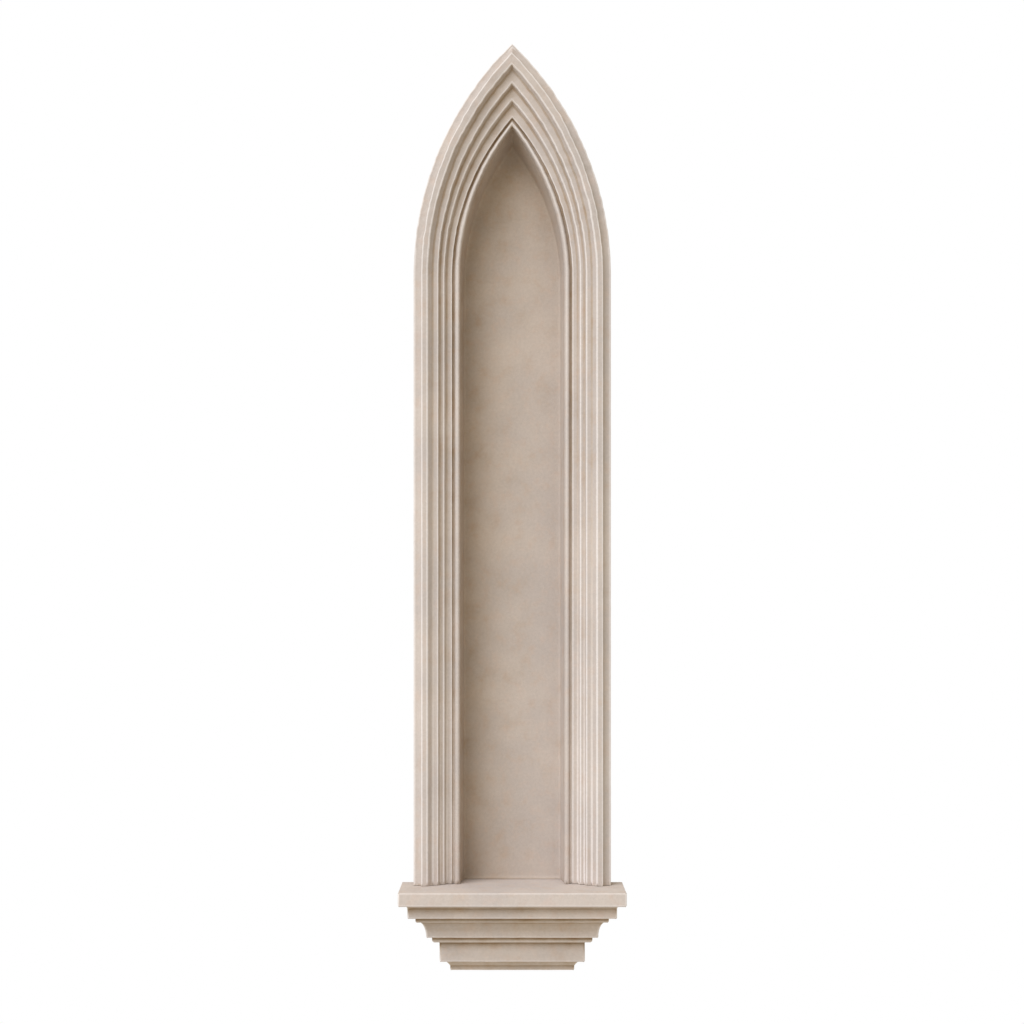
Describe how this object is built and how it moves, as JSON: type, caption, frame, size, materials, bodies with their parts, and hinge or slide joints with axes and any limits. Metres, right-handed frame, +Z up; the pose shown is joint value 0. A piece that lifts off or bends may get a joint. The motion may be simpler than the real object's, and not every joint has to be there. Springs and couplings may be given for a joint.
{
  "type": "exterior wall niche",
  "caption": "Tall pointed wall niche in cast stone, with a stepped and rolled surround, a plain recess, a projecting sill and a stepped, moulded corbel below.",
  "frame": {"origin": "on the wall face, on the centre line, at mid-height of the corbel's flat back", "axes": "+Z up along the niche, +Y into the wall, so the front faces -Y, +X to the right of someone who faces the niche"},
  "size_m": [0.588, 0.283, 2.4416],
  "materials": {
    "surround_stone": "fine matt cast limestone with faint mottling",
    "recess_stone": "fine matt cast limestone, a little darker and smoother",
    "sill_stone": "fine matt cast limestone with faint mottling",
    "corbel_stone": "fine matt cast limestone with faint mottling"
  },
  "bodies": {
    "root": {"surround": "surround_stone", "recess_shell": "recess_stone", "sill": "sill_stone", "corbel": "corbel_stone"}
  },
  "joints": []
}
